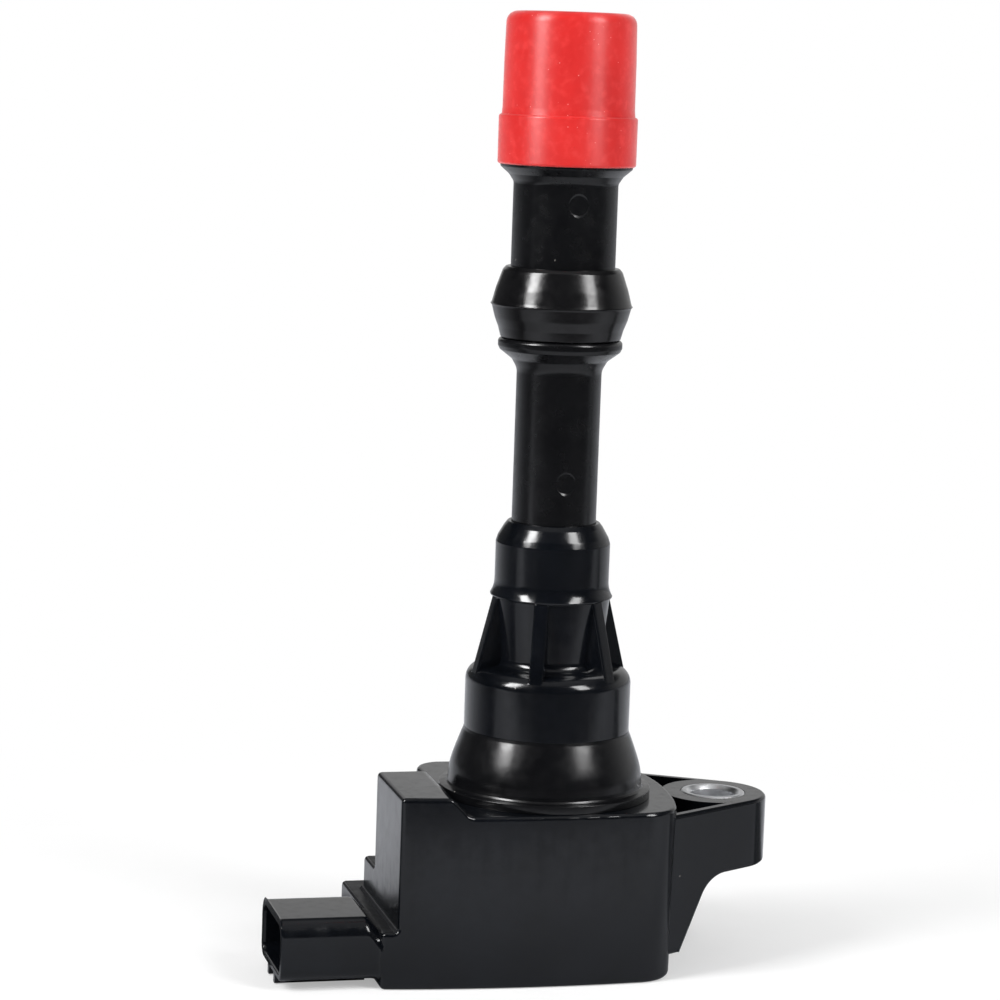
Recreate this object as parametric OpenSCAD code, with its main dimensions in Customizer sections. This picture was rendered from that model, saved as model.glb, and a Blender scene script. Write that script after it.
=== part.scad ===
// Coil-on-plug ignition coil, standing on its potted side with the spark plug boot up.
// A moulded block carries the connector, the bolt ear and the high-tension tower. A stalk
// tube with a sealing ring rises out of the tower and ends in a soft plug boot.
// Millimetres, +Z up the stalk. The origin is on the stalk axis in the base plane.

/* [Block] */
// Height of the main section above the base plane
block_h = 25.0; // [24.6:0.1:26.0]
// Height of the igniter box at the connector side
box_h = 27.7; // [27.0:0.1:29.0]
// Front face of the block, measured from the stalk axis
front_y = -16.0; // [-17.0:0.1:-15.8]
// Back face of the block, measured from the stalk axis
back_y = 21.3; // [21.0:0.1:23.0]
// Right face of the block, at the widest point of its bow
right_x = 18.85; // [18.6:0.05:20.0]
// Wall thickness of the moulded case
wall = 1.8; // [1.4:0.1:1.9]
// Radius of the block's right-hand corners
corner_r = 6.0; // [5.4:0.1:6.8]

/* [Ear] */
// Distance of the bolt hole from the stalk axis, across the block
ear_x = 26.85; // [26.6:0.05:27.6]
// Offset of the bolt hole along the block's depth
ear_y = 2.7; // [2.0:0.1:3.4]
// Top face of the ear above the base plane
ear_top = 23.7; // [23.4:0.1:24.2]
// Underside of the ear's boss above the base plane
ear_under = 13.6; // [12.0:0.1:14.5]
// Outside radius of the boss round the bush
boss_r = 7.9; // [7.7:0.1:8.6]
// Outside radius of the metal bush
bush_r = 4.85; // [4.5:0.05:5.0]
// Radius of the bolt hole through the bush
bolt_r = 3.4; // [3.1:0.05:3.6]

/* [Connector] */
// How far the mouth of the shroud stands from the stalk axis
mouth_x = 41.0; // [40:0.5:44]
// Width of the shroud
shroud_w = 16.1; // [15.8:0.1:16.4]
// Height of the shroud
shroud_h = 8.9; // [8.8:0.1:9.2]
// Spacing of the terminal blades
pin_pitch = 4.2; // [3.6:0.1:4.4]

/* [Tower] */
// Outside radius of the bell
bell_r = 12.05; // [11.8:0.05:12.4]
// Outside radius of the sealing lip at the foot of the skirt
lip_r = 15.45; // [15.0:0.05:15.6]
// Outside radius of the collar that holds the stalk tube
collar_r = 8.3; // [8.1:0.05:8.6]
// Thickness of each radial rib
rib_t = 2.1; // [1.6:0.1:2.8]

/* [Stalk] */
// Outside radius of the lower part of the tube
tube_r = 6.12; // [5.9:0.02:6.2]
// Outside radius of the upper part of the tube
upper_r = 7.5; // [7.3:0.05:7.7]
// Largest radius of the rubber sealing ring
ring_r = 10.2; // [9.8:0.05:10.8]

/* [Boot] */
// Radius of the boot's collar
boot_collar_r = 9.92; // [9.7:0.02:10.2]
// Radius of the boot above its collar
boot_r = 9.45; // [9.2:0.05:9.6]
// Radius of the bore that grips the spark plug's insulator
plug_bore_r = 5.2; // [4.9:0.05:5.6]
// Height of the boot's open end above the base plane
total_h = 137.8; // [136:0.2:142]

/* [Hidden] */
$fn = 96;
eps = 0.02;

// plan of the block
left_x = -15.3;
plan_cy = (front_y + back_y) / 2;
bow_front = 190;
bow_side = 52;
back_r = 4.6;
front_c = [-1, front_y + bow_front];
back_c = [-1, back_y - bow_front];
side_c = [right_x - bow_side, plan_cy];
box_x = -24.4;
box_back = 3.2;
box_top_x = -17.3;
step_back = 10.8;
step_h = 13.3;
foot_x = -26.7;
foot_back = 15.7;
foot_h = 8.3;

// connector
shroud_cy = -5.85;
shroud_z0 = 1.25;
shroud_wall = 1.1;
shroud_floor = -28.6;
pin_z = shroud_z0 + shroud_h / 2;
pin_t = 0.64;
pin_w = 1.6;
pin_tip = -36.4;
pin_tail = -18.9;

// ear
web_z = 3.1;
web_x = 18.3;
web_angle = 64;
web_fillet = 4.6;
ear_wall = 1.4;
pocket_floor = ear_under + 2.2;

// coil pack, wound round an axis along Y
pack_z = 11.5;
leg_half = 3.1;
leg_y0 = -8.5;
leg_y1 = 13.1;
magnet_t = 0.8;
buffer_r = 4.95;
prim_bore = 5.0;
prim_tube = 5.7;
prim_wire = 7.3;
prim_flange = 7.5;
sec_bore = 7.6;
sec_tube = 8.3;
sec_wire = 9.7;
sec_flange = 10.2;
pack_y0 = -8.2;
pack_y1 = 12.8;
flange_t = 0.8;
sections = 6;
pitch = (pack_y1 - pack_y0 - flange_t) / sections;
yoke_t = 4.3;
yoke_h = 7.2;
yoke_x1 = 15.1;

// tower
spigot_r = 10.6;
skirt_top = 34.6;
bell_top = 43.2;
neck_z = 44.2;
flare_z = 54.1;
collar_z = 56.35;
collar_top = 65.0;
seat_z = 54.0;
fill_r = 8.8;
web_under = 41.0;
post_r = 2.0;
resistor_bore = 2.95;

// stalk
flange_z = 90.0;
ring_z = 91.4;
ring_top = 101.7;
tube_top = 116.2;
low_bore = 4.3;
high_bore = 5.6;

// contact train
resistor_z0 = 46.0;
resistor_z1 = 63.5;
spring_top = 118.0;
coil_r = 2.45;
wire_r = 0.42;
turns = 15;
cap_r = 3.0;
spigot_end = 106.0;
boot_step = 120.6;

// ---------------------------------------------------------------- helpers

// box with rounded upright edges
module rbox(x0, y0, x1, y1, z0, z1, r) {
    translate([x0 + r, y0, z0]) cube([x1 - x0 - 2 * r, y1 - y0, z1 - z0]);
    translate([x0, y0 + r, z0]) cube([x1 - x0, y1 - y0 - 2 * r, z1 - z0]);
    for (x = [x0 + r, x1 - r], y = [y0 + r, y1 - r])
        translate([x, y, z0]) cylinder(r = r, h = z1 - z0);
}

// bar along X of the shroud's section: corner radii at the foot, front top and back top
module socket_bar(x0, x1, y0, y1, z0, z1, rf, rt, rb) {
    translate([x0, 0, 0]) rotate([90, 0, 90]) linear_extrude(x1 - x0)
        polygon([[y0, z0 + rf], [y0 + rf, z0], [y1 - rf, z0], [y1, z0 + rf], [y1, z1 - rb],
            [y1 - rb, z1], [y0 + rt, z1], [y0, z1 - rt]]);
    for (c = [[y0 + rf, z0 + rf, rf], [y1 - rf, z0 + rf, rf], [y0 + rt, z1 - rt, rt],
        [y1 - rb, z1 - rb, rb]])
        translate([x0, c[0], c[1]]) rotate([0, 90, 0]) cylinder(r = c[2], h = x1 - x0);
}

// quarter arc from one angle to the other, as profile points
function arc(cx, cz, r, a0, a1, n) =
    [for (i = [0:n]) let (a = a0 + (a1 - a0) * i / n) [cx + r * cos(a), cz + r * sin(a)]];

// cylinder along Y
module ycyl(r, y0, y1) {
    translate([0, y0, pack_z]) rotate([-90, 0, 0]) cylinder(r = r, h = y1 - y0);
}

module ytube(ri, ro, y0, y1) {
    difference() {
        ycyl(ro, y0, y1);
        ycyl(ri, y0 - 1, y1 + 1);
    }
}

// where two circles cross, taking the crossing on the side that s points to
function meet(a, ra, b, rb, s) =
    let (d = norm(b - a), u = (b - a) / d, t = (ra * ra - rb * rb + d * d) / (2 * d))
    a + t * u + s * sqrt(ra * ra - t * t) * [-u[1], u[0]];

// right-hand corner that runs smoothly from the long bow into the side bow
module bow_corner(long, side, s, inset, cut) {
    p = meet(long, bow_front - corner_r, side, bow_side - corner_r, s);
    t1 = (p - long) / norm(p - long);
    t2 = (p - side) / norm(p - side);
    translate([0, 0, -3])
        if (cut) linear_extrude(45)
            polygon([p, p + 14 * t1, p + 14 * (t1 + t2), p + 14 * t2]);
        else translate([p[0], p[1], 0]) cylinder(r = corner_r - inset, h = 45);
}

// keeps what is behind the gently bowed front face
module front_bow(inset) {
    translate([-1, front_y + bow_front, -2]) cylinder(r = bow_front - inset, h = 40);
}

// main section, with bowed front, back and right faces
module main_section(z0, z1, inset) {
    intersection() {
        rbox(left_x + inset, front_y + inset, right_x + back_r, back_y - inset, z0, z1,
            back_r - inset);
        union() {
            difference() {
                intersection() {
                    front_bow(inset);
                    translate([-1, back_y - bow_front, -2])
                        cylinder(r = bow_front - inset, h = 42);
                    translate([side_c[0], side_c[1], -2])
                        cylinder(r = bow_side - inset, h = 42);
                }
                bow_corner(front_c, side_c, 1, inset, true);
                bow_corner(back_c, side_c, -1, inset, true);
            }
            bow_corner(front_c, side_c, 1, inset, false);
            bow_corner(back_c, side_c, -1, inset, false);
        }
    }
}

// igniter box, with a ramp down to the main section
module igniter_box() {
    difference() {
        rbox(box_x, front_y, left_x + 4, box_back, 0, box_h, 0.5);
        translate([0, box_back + 1, 0]) rotate([90, 0, 0])
            linear_extrude(box_back + 1 - front_y + 1)
                polygon([[box_top_x, box_h], [box_top_x + box_h - block_h, block_h],
                    [left_x + 5, block_h], [left_x + 5, box_h + 1],
                    [box_top_x, box_h + 1]]);
    }
}

// tapering plan of the ear: a boss and two flanks tangent to it
module ear_plan(r, z0, z1) {
    tx = r * cos(60);
    ty = r * sin(60);
    reach = ear_x + tx - 14;
    translate([0, 0, z0]) {
        translate([ear_x, ear_y, 0]) cylinder(r = r, h = z1 - z0);
        linear_extrude(z1 - z0)
            polygon([[ear_x + tx, ear_y - ty], [ear_x + tx, ear_y + ty],
                [14, ear_y + ty + reach * tan(30)], [14, ear_y - ty - reach * tan(30)]]);
    }
}

module ear() {
    corner = web_x + (ear_under - web_z) / tan(web_angle);
    run = web_fillet * tan(web_angle / 2);
    difference() {
        ear_plan(boss_r, web_z, ear_top);
        // space under the boss, with a hollow fillet into the web
        translate([0, 40, 0]) rotate([90, 0, 0]) linear_extrude(80)
            polygon(concat([[web_x, web_z - 2], [web_x, web_z]],
                arc(corner + run, ear_under - web_fillet, web_fillet, 90 + web_angle, 90, 10),
                [[50, ear_under], [50, web_z - 2]]));
        // lightening pockets either side of the boss
        difference() {
            ear_plan(boss_r - ear_wall, pocket_floor, ear_top + 1);
            translate([ear_x, ear_y, 0]) cylinder(r = boss_r - 0.35, h = 40);
            main_section(-1, 40, 0);
        }
    }
}

module shroud_outer() {
    y0 = shroud_cy - shroud_w / 2;
    y1 = shroud_cy + shroud_w / 2;
    z1 = shroud_z0 + shroud_h;
    difference() {
        socket_bar(-mouth_x, box_x + 1, y0, y1, shroud_z0, z1, 2.0, 1.7, 3.4);
        // the top slopes down to the ledge where it meets the block
        translate([0, y1 + 1, 0]) rotate([90, 0, 0]) linear_extrude(shroud_w + 2)
            polygon([[-28.4, z1], [foot_x - 0.1, foot_h], [box_x + 2, foot_h],
                [box_x + 2, z1 + 1], [-28.4, z1 + 1]]);
    }
    // guide rails and latch wedge under the shroud
    for (y = [shroud_cy - 3.4, shroud_cy + 1.3])
        translate([-mouth_x, y, 0.1]) cube([13, 1.1, shroud_z0 + 0.7]);
    translate([-mouth_x + 2.2, shroud_cy + 0.8, 0]) rotate([90, 0, 0]) linear_extrude(2.6)
        polygon([[0, shroud_z0 + 0.3], [0, shroud_z0], [2.6, shroud_z0 - 0.9],
            [3.2, shroud_z0 - 0.9], [3.2, shroud_z0 + 0.3]]);
}

module shroud_inner() {
    w = shroud_wall;
    socket_bar(-mouth_x - 1, shroud_floor, shroud_cy - shroud_w / 2 + w,
        shroud_cy + shroud_w / 2 - w, shroud_z0 + w, shroud_z0 + shroud_h - w,
        1.1, 0.8, 2.4);
}

// bell, tapering neck, flared lip and collar of the tower
module tower() {
    rotate_extrude()
        polygon(concat([[0, block_h - 1], [spigot_r, block_h - 1], [spigot_r, skirt_top],
            [bell_r, skirt_top]], arc(bell_r - 2.2, bell_top - 1.6, 2.2, 0, 75, 8),
            [[8.7, neck_z - 0.2], [7.95, neck_z + 0.2], [7.62, neck_z + 0.8],
            [7.6, neck_z + 1.3], [8.5, flare_z - 0.05], [8.8, flare_z]],
            arc(collar_r + 4, collar_z, 4, 212, 180, 6),
            [[collar_r, 61.9], [collar_r - 0.3, 62.8], [collar_r - 1.2, 64.2],
            [6.6, collar_top], [0, collar_top]]));
    // ribs from the bell's shoulder up to the lip
    for (a = [6:60:306])
        rotate([0, 0, a]) translate([0, rib_t / 2, 0]) rotate([90, 0, 0])
            linear_extrude(rib_t)
                polygon([[5, bell_top - 1.6], [bell_r - 0.2, bell_top - 1.6],
                    [bell_r - 0.06, bell_top - 1.25], [8.87, flare_z + 0.05],
                    [5, flare_z + 0.05]]);
}

// everything inside the case that the resin fills, down to the base plane
module cavity() {
    main_section(-1, block_h - wall, wall);
    intersection() {
        union() {
            rbox(box_x + 1.7, front_y + wall, left_x + 5, box_back - 1.7, -1,
                block_h - wall, 0.6);
            rbox(box_x + 1.7, front_y + wall, box_top_x - 1.2, box_back - 1.7, -1,
                box_h - 1.7, 0.6);
            rbox(foot_x + wall, front_y + wall, left_x + 5, foot_back - 1.8, -1,
                foot_h - 1.7, 0.6);
        }
        front_bow(wall);
    }
    translate([0, 0, block_h - wall - 1]) cylinder(r = fill_r, h = web_under - block_h + wall + 1);
}

// ---------------------------------------------------------------- moulded case

module coil_case() {
    color([0.13, 0.14, 0.16]) difference() {
        union() {
            main_section(0, block_h, 0);
            intersection() {
                union() {
                    igniter_box();
                    rbox(box_x, box_back - 3, left_x + 3, step_back, 0, step_h, 0.6);
                    rbox(foot_x, front_y, left_x + 3, foot_back, 0, foot_h, 0.7);
                }
                front_bow(0);
            }
            // bead along the foot of the igniter box
            translate([box_x, step_back - 0.3, 0]) rotate([90, 0, 0])
                linear_extrude(step_back - 0.3 + 14.5)
                    polygon([[-0.55, foot_h - 0.2], [-0.55, foot_h + 0.05],
                        [-0.25, foot_h + 0.4], [0.5, foot_h + 0.5], [0.5, foot_h - 0.2]]);
            ear();
            shroud_outer();
            tower();
        }
        cavity();
        shroud_inner();
        // seat for the bush, then the bores of the tower
        translate([ear_x, ear_y, 0]) cylinder(r = bush_r, h = 40);
        translate([0, 0, web_under - 1]) cylinder(r = post_r, h = 10);
        translate([0, 0, bell_top]) cylinder(r = resistor_bore, h = 20);
        translate([0, 0, seat_z]) cylinder(r = tube_r + eps, h = 20);
        translate([0, 0, collar_top - 0.6]) cylinder(r1 = tube_r, r2 = tube_r + 0.4, h = 0.7);
        for (i = [-1:1])
            translate([shroud_floor - 1, shroud_cy + i * pin_pitch - pin_w / 2,
                pin_z - pin_t / 2])
                cube([6, pin_w, pin_t]);
    }
}

module mounting_bush() {
    color([0.78, 0.79, 0.8]) translate([ear_x, ear_y, 0]) rotate_extrude()
        polygon([[bolt_r, ear_under + 0.4], [bolt_r + 0.5, ear_under - 0.1],
            [bush_r - 0.3, ear_under - 0.1], [bush_r - eps, ear_under + 0.2],
            [bush_r - eps, ear_top - 0.2], [bush_r - 0.3, ear_top + 0.1],
            [bolt_r + 0.5, ear_top + 0.1], [bolt_r, ear_top - 0.4]]);
}

// rubber skirt on the tower's spigot, with the sealing lip at its foot
module base_seal() {
    color([0.07, 0.07, 0.08]) rotate_extrude()
        polygon([[spigot_r + eps, block_h], [lip_r - 0.15, block_h], [lip_r, block_h + 0.15],
            [lip_r, block_h + 1.05], [lip_r - 0.2, block_h + 1.25],
            [14.35, block_h + 1.35], [14.17, block_h + 1.6],
            [14.15, 27.2], [14.02, 28.4], [13.78, 29.5], [13.42, 30.7], [13.0, 32.0],
            [12.62, 33.1], [12.25, 34.0], [bell_r, skirt_top], [spigot_r + eps, skirt_top]]);
}

// ---------------------------------------------------------------- magnetic circuit

module core_leg() {
    color([0.45, 0.46, 0.48])
        translate([-leg_half, leg_y0, pack_z - leg_half])
            cube([2 * leg_half, leg_y1 - leg_y0, 2 * leg_half]);
}

module bias_magnet() {
    color([0.3, 0.3, 0.32])
        translate([-leg_half, leg_y1, pack_z - leg_half])
            cube([2 * leg_half, magnet_t, 2 * leg_half]);
}

module core_yoke() {
    y0 = leg_y0 - yoke_t;
    y1 = leg_y1 + magnet_t + yoke_t;
    c = 4;
    color([0.4, 0.41, 0.43]) translate([0, 0, pack_z - yoke_h / 2])
        linear_extrude(yoke_h)
            polygon([[-leg_half, y0], [yoke_x1 - c, y0], [yoke_x1, y0 + c],
                [yoke_x1, y1 - c], [yoke_x1 - c, y1], [-leg_half, y1],
                [-leg_half, y1 - yoke_t], [yoke_x1 - yoke_t, y1 - yoke_t],
                [yoke_x1 - yoke_t, y0 + yoke_t], [-leg_half, y0 + yoke_t]]);
}

module core_buffer() {
    s = leg_half + eps;
    color([0.25, 0.2, 0.18]) difference() {
        ycyl(buffer_r, leg_y0 + 0.2, leg_y1 - 0.2);
        translate([-s, leg_y0, pack_z - s]) cube([2 * s, leg_y1 - leg_y0, 2 * s]);
    }
}

module primary_bobbin() {
    color([0.75, 0.72, 0.62]) {
        ytube(prim_bore, prim_tube, pack_y0, pack_y1);
        ytube(prim_bore, prim_flange, pack_y0, pack_y0 + flange_t);
        ytube(prim_bore, prim_flange, pack_y1 - flange_t, pack_y1);
    }
}

module primary_winding() {
    color([0.72, 0.4, 0.2])
        ytube(prim_tube + eps, prim_wire, pack_y0 + flange_t + eps, pack_y1 - flange_t - eps);
}

// slot that lets the wire cross from one section to the next
module crossing(i, w, r0, r1, y0, y1) {
    translate([0, 0, pack_z]) rotate([0, 25 * i, 0])
        translate([-w / 2, y0, r0]) cube([w, y1 - y0, r1 - r0]);
}

module secondary_bobbin() {
    color([0.82, 0.8, 0.72]) difference() {
        union() {
            ytube(sec_bore, sec_tube, pack_y0, pack_y1);
            for (i = [0:sections])
                ytube(sec_bore, sec_flange, pack_y0 + i * pitch, pack_y0 + i * pitch + flange_t);
        }
        for (i = [1:sections - 1])
            crossing(i, 1.2, sec_tube, sec_flange + 1, pack_y0 + i * pitch - 1,
                pack_y0 + i * pitch + flange_t + 1);
    }
}

module secondary_winding() {
    color([0.62, 0.3, 0.16]) {
        for (i = [0:sections - 1])
            ytube(sec_tube + eps, sec_wire, pack_y0 + i * pitch + flange_t + eps,
                pack_y0 + (i + 1) * pitch - eps);
        for (i = [1:sections - 1])
            crossing(i, 0.6, sec_tube + 0.3, sec_tube + 0.9, pack_y0 + i * pitch - 0.4,
                pack_y0 + i * pitch + flange_t + 0.4);
    }
}

// ---------------------------------------------------------------- igniter and leads

module igniter_module() {
    color([0.12, 0.12, 0.13])
        translate([-21.3, -12.2, 10.5]) cube([4.2, 13, 12.5]);
}

module heat_spreader() {
    color([0.7, 0.7, 0.72])
        translate([-22.3, -12.6, 9.2]) cube([1.0, 13.8, 15.2]);
}

module igniter_lead(i) {
    color([0.75, 0.73, 0.68])
        translate([-19.5, shroud_cy + i * pin_pitch - 0.5, pin_z + pin_t / 2])
            cube([0.6, 1.0, 10.5 - pin_z - pin_t / 2]);
}

module igniter_lead_1() { igniter_lead(-1); }
module igniter_lead_2() { igniter_lead(0); }
module igniter_lead_3() { igniter_lead(1); }

module connector_pin(i) {
    y = shroud_cy + i * pin_pitch;
    color([0.8, 0.78, 0.72]) {
        translate([pin_tip + 0.8, y - pin_w / 2, pin_z - pin_t / 2])
            cube([pin_tail - pin_tip - 0.8, pin_w, pin_t]);
        translate([pin_tip, y - pin_w / 2 + 0.3, pin_z - pin_t / 2 + 0.12])
            cube([1, pin_w - 0.6, pin_t - 0.24]);
    }
}

module connector_pin_1() { connector_pin(-1); }
module connector_pin_2() { connector_pin(0); }
module connector_pin_3() { connector_pin(1); }

// supply strap: from the foot of the third blade back to the primary's far flange
module primary_strap_1() {
    y = shroud_cy + pin_pitch;
    y1 = pack_y1 + eps;
    z = 3.2;
    color([0.78, 0.6, 0.35]) {
        translate([-24.2, y - 0.5, z]) cube([0.9, y1 + 0.6 - y + 0.5, 0.8]);
        translate([-24.2, y - 0.5, z]) cube([0.9, 1.0, pin_z - pin_t / 2 - z]);
        translate([-24.2, y1, z]) cube([19.2, 0.6, 0.8]);
        translate([-5.8, y1, z]) cube([0.8, 0.6, 4.0]);
    }
}

// switched strap: from the igniter across to the primary's near flange
module primary_strap_2() {
    y0 = pack_y0 - eps - 0.6;
    z = 3.2;
    color([0.78, 0.6, 0.35]) {
        translate([-16.4, y0, z]) cube([11.2, 0.6, 0.8]);
        translate([-16.4, y0, z]) cube([0.8, 0.9, 8.3]);
        translate([-17.1, y0, 10.7]) cube([1.5, 0.9, 0.8]);
        translate([-6.0, y0, z]) cube([0.8, 0.6, 4.0]);
    }
}

// ---------------------------------------------------------------- high-tension path

module hv_terminal() {
    color([0.82, 0.68, 0.35]) {
        rotate_extrude()
            polygon([[0, 22.1], [3.2, 22.1], [3.2, 22.9], [post_r, 23.6],
                [post_r, 38.4], [3.4, 38.4], [3.4, web_under], [post_r - eps, web_under],
                [post_r - eps, 44.8], [1.6, resistor_z0], [0, resistor_z0]]);
        translate([-1.2, -8.9, 22.1]) cube([2.4, 8.9, 0.7]);
        translate([-1.2, -8.9, 20.4]) cube([2.4, 0.6, 2.2]);
    }
}

module hv_resistor() {
    color([0.9, 0.88, 0.82]) rotate_extrude()
        polygon([[0, resistor_z0], [2.7, resistor_z0], [2.9, resistor_z0 + 0.2],
            [2.9, resistor_z0 + 2.6], [2.6, resistor_z0 + 2.8],
            [2.6, resistor_z1 - 2.8], [2.9, resistor_z1 - 2.6], [2.9, resistor_z1 - 0.2],
            [2.7, resistor_z1], [0, resistor_z1]]);
}

// round-wire helix with ground ends; its level section is a bent lens
module contact_spring() {
    rise = spring_top - resistor_z1;
    lead = atan(rise / turns / (2 * PI * coil_r));
    spread = (wire_r / sin(lead)) / coil_r * 180 / PI;
    n = 7;
    color([0.75, 0.76, 0.78]) translate([0, 0, resistor_z1])
        linear_extrude(height = rise, twist = -360 * turns, slices = turns * 14, $fn = 14)
            polygon(concat(
                [for (i = [0:n]) let (t = -1 + 2 * i / n, w = wire_r * sqrt(1 - t * t))
                    (coil_r + w) * [cos(t * spread), sin(t * spread)]],
                [for (i = [1:n - 1]) let (t = 1 - 2 * i / n, w = wire_r * sqrt(1 - t * t))
                    (coil_r - w) * [cos(t * spread), sin(t * spread)]]));
}

module plug_contact() {
    color([0.8, 0.8, 0.82]) rotate_extrude()
        polygon([[0, spring_top - 5], [1.2, spring_top - 5], [1.6, spring_top - 4.4],
            [1.6, spring_top], [cap_r - 0.2, spring_top], [cap_r, spring_top + 0.2],
            [cap_r, spring_top + 1.4], [cap_r - 0.5, spring_top + 2.0],
            [1.0, spring_top + 2.3], [0, spring_top + 2.3]]);
}

// ---------------------------------------------------------------- stalk and boot

// shallow round gate mark with a nib, facing the front
module gate_mark(z, r) {
    difference() {
        translate([0, -r + 0.26, z]) rotate([90, 0, 0]) cylinder(r = 1.65, h = 3);
        translate([0, -r + 1, z]) rotate([90, 0, 0]) cylinder(r = 0.3, h = 0.95);
    }
}

module stalk_tube() {
    color([0.08, 0.08, 0.09]) difference() {
        rotate_extrude()
            polygon(concat([[low_bore, seat_z], [tube_r - 0.4, seat_z], [tube_r, seat_z + 0.4],
                [tube_r, 87.0]], arc(tube_r + 1.6, 87.0, 1.6, 180, 135, 4),
                [[8.55, 89.75]], arc(8.45, flange_z + 0.4, 0.5, -30, 0, 3),
                arc(8.45, ring_z - 0.5, 0.5, 0, 90, 5),
                [[upper_r, ring_z], [upper_r, 113.8]],
                arc(upper_r + 1.3, 113.8, 1.3, 180, 130, 4),
                [[9.35, 115.75], [9.5, 116.0], [9.5, tube_top], [high_bore, tube_top],
                [high_bore, 89.0], [low_bore, 87.6]]));
        gate_mark(110.8, upper_r);
        gate_mark(71.1, tube_r);
    }
}

// rubber ring of double-cone section, seated on the tube's flange
module seal_ring() {
    color([0.06, 0.06, 0.065]) rotate_extrude()
        polygon([[upper_r + eps, ring_z], [8.4, ring_z], [8.6, ring_z + 0.2],
            [8.72, 92.0], [8.98, 92.8], [9.48, 94.1], [9.98, 95.5],
            [ring_r - 0.04, 96.1], [ring_r, 96.3], [ring_r - 0.04, 96.5],
            [9.95, 97.3], [9.5, 98.55], [9.04, 99.85], [8.62, 100.95],
            [8.42, 101.4], [8.2, ring_top], [upper_r + eps, ring_top]]);
}

module plug_boot() {
    color([0.85, 0.15, 0.14]) rotate_extrude()
        polygon(concat([[3.6, spigot_end], [5.1, spigot_end], [5.54, spigot_end + 0.6],
            [5.54, tube_top]], arc(boot_collar_r - 0.35, tube_top + 0.35, 0.35, -90, 0, 4),
            arc(boot_collar_r - 0.3, 122.95, 0.3, 0, 80, 4),
            [[boot_r + 0.05, 123.4], [boot_r, 123.7], [boot_r - 0.02, 130],
            [boot_r - 0.12, total_h - 2]],
            arc(boot_r - 1.9, total_h - 1.8, 1.8, 5, 90, 10),
            [[plug_bore_r + 0.8, total_h], [plug_bore_r, total_h - 0.9],
            [plug_bore_r, boot_step], [3.6, boot_step]]));
}

module potting_epoxy() {
    color([0.16, 0.13, 0.11]) difference() {
        intersection() {
            cavity();
            translate([-60, -60, 0]) cube([120, 120, 100]);
        }
        core_leg();
        bias_magnet();
        core_yoke();
        ycyl(buffer_r, leg_y0 + 0.2, leg_y1 - 0.2);
        ycyl(prim_flange + 0.1, pack_y0, pack_y1);
        for (i = [0:sections])
            ycyl(sec_flange, pack_y0 + i * pitch, pack_y0 + i * pitch + flange_t);
        ycyl(sec_wire, pack_y0, pack_y1);
        igniter_module();
        heat_spreader();
        igniter_lead_1();
        igniter_lead_2();
        igniter_lead_3();
        primary_strap_1();
        primary_strap_2();
        connector_pin_1();
        connector_pin_2();
        connector_pin_3();
        hv_terminal();
    }
}

coil_case();
base_seal();
mounting_bush();
potting_epoxy();
core_leg();
core_yoke();
bias_magnet();
core_buffer();
primary_bobbin();
primary_winding();
secondary_bobbin();
secondary_winding();
igniter_module();
heat_spreader();
igniter_lead_1();
igniter_lead_2();
igniter_lead_3();
primary_strap_1();
primary_strap_2();
connector_pin_1();
connector_pin_2();
connector_pin_3();
hv_terminal();
hv_resistor();
stalk_tube();
seal_ring();
contact_spring();
plug_contact();
plug_boot();
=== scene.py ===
# Looks for a coil-on-plug ignition coil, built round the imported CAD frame. Metres, same frame.
import math

import bmesh
import bpy
from mathutils import Matrix, Vector


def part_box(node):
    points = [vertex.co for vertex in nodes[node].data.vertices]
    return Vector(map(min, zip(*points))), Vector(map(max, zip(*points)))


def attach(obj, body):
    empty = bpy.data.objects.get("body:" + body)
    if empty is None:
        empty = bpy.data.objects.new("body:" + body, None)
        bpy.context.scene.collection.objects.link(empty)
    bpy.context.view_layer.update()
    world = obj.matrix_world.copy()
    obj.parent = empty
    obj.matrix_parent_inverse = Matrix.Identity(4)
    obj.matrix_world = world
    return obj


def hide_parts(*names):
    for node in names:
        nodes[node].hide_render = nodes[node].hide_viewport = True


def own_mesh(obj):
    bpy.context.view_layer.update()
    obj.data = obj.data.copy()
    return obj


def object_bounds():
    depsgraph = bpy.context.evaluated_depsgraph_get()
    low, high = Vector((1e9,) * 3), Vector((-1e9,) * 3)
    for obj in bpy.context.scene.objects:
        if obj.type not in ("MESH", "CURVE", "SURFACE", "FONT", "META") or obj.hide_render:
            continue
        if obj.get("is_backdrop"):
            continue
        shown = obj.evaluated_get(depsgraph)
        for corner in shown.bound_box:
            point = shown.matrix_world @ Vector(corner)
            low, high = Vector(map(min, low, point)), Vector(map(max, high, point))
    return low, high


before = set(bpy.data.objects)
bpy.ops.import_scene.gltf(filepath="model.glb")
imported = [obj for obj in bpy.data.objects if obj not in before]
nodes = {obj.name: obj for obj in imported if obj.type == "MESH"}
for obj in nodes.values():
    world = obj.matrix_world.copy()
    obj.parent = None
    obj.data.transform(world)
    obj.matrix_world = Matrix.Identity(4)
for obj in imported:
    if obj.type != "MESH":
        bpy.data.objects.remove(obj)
size_log = {"cad_box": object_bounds()}
scene = bpy.context.scene
MM = 0.001


# ------------------------------------------------------------------ node helpers


def new_material(name):
    m = bpy.data.materials.new(name)
    m.use_nodes = True
    nt = m.node_tree
    return m, nt, nt.nodes["Principled BSDF"]


def add(nt, kind, **values):
    """A new node, with its properties set."""
    n = nt.nodes.new(kind)
    for k, v in values.items():
        setattr(n, k, v)
    return n


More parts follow.
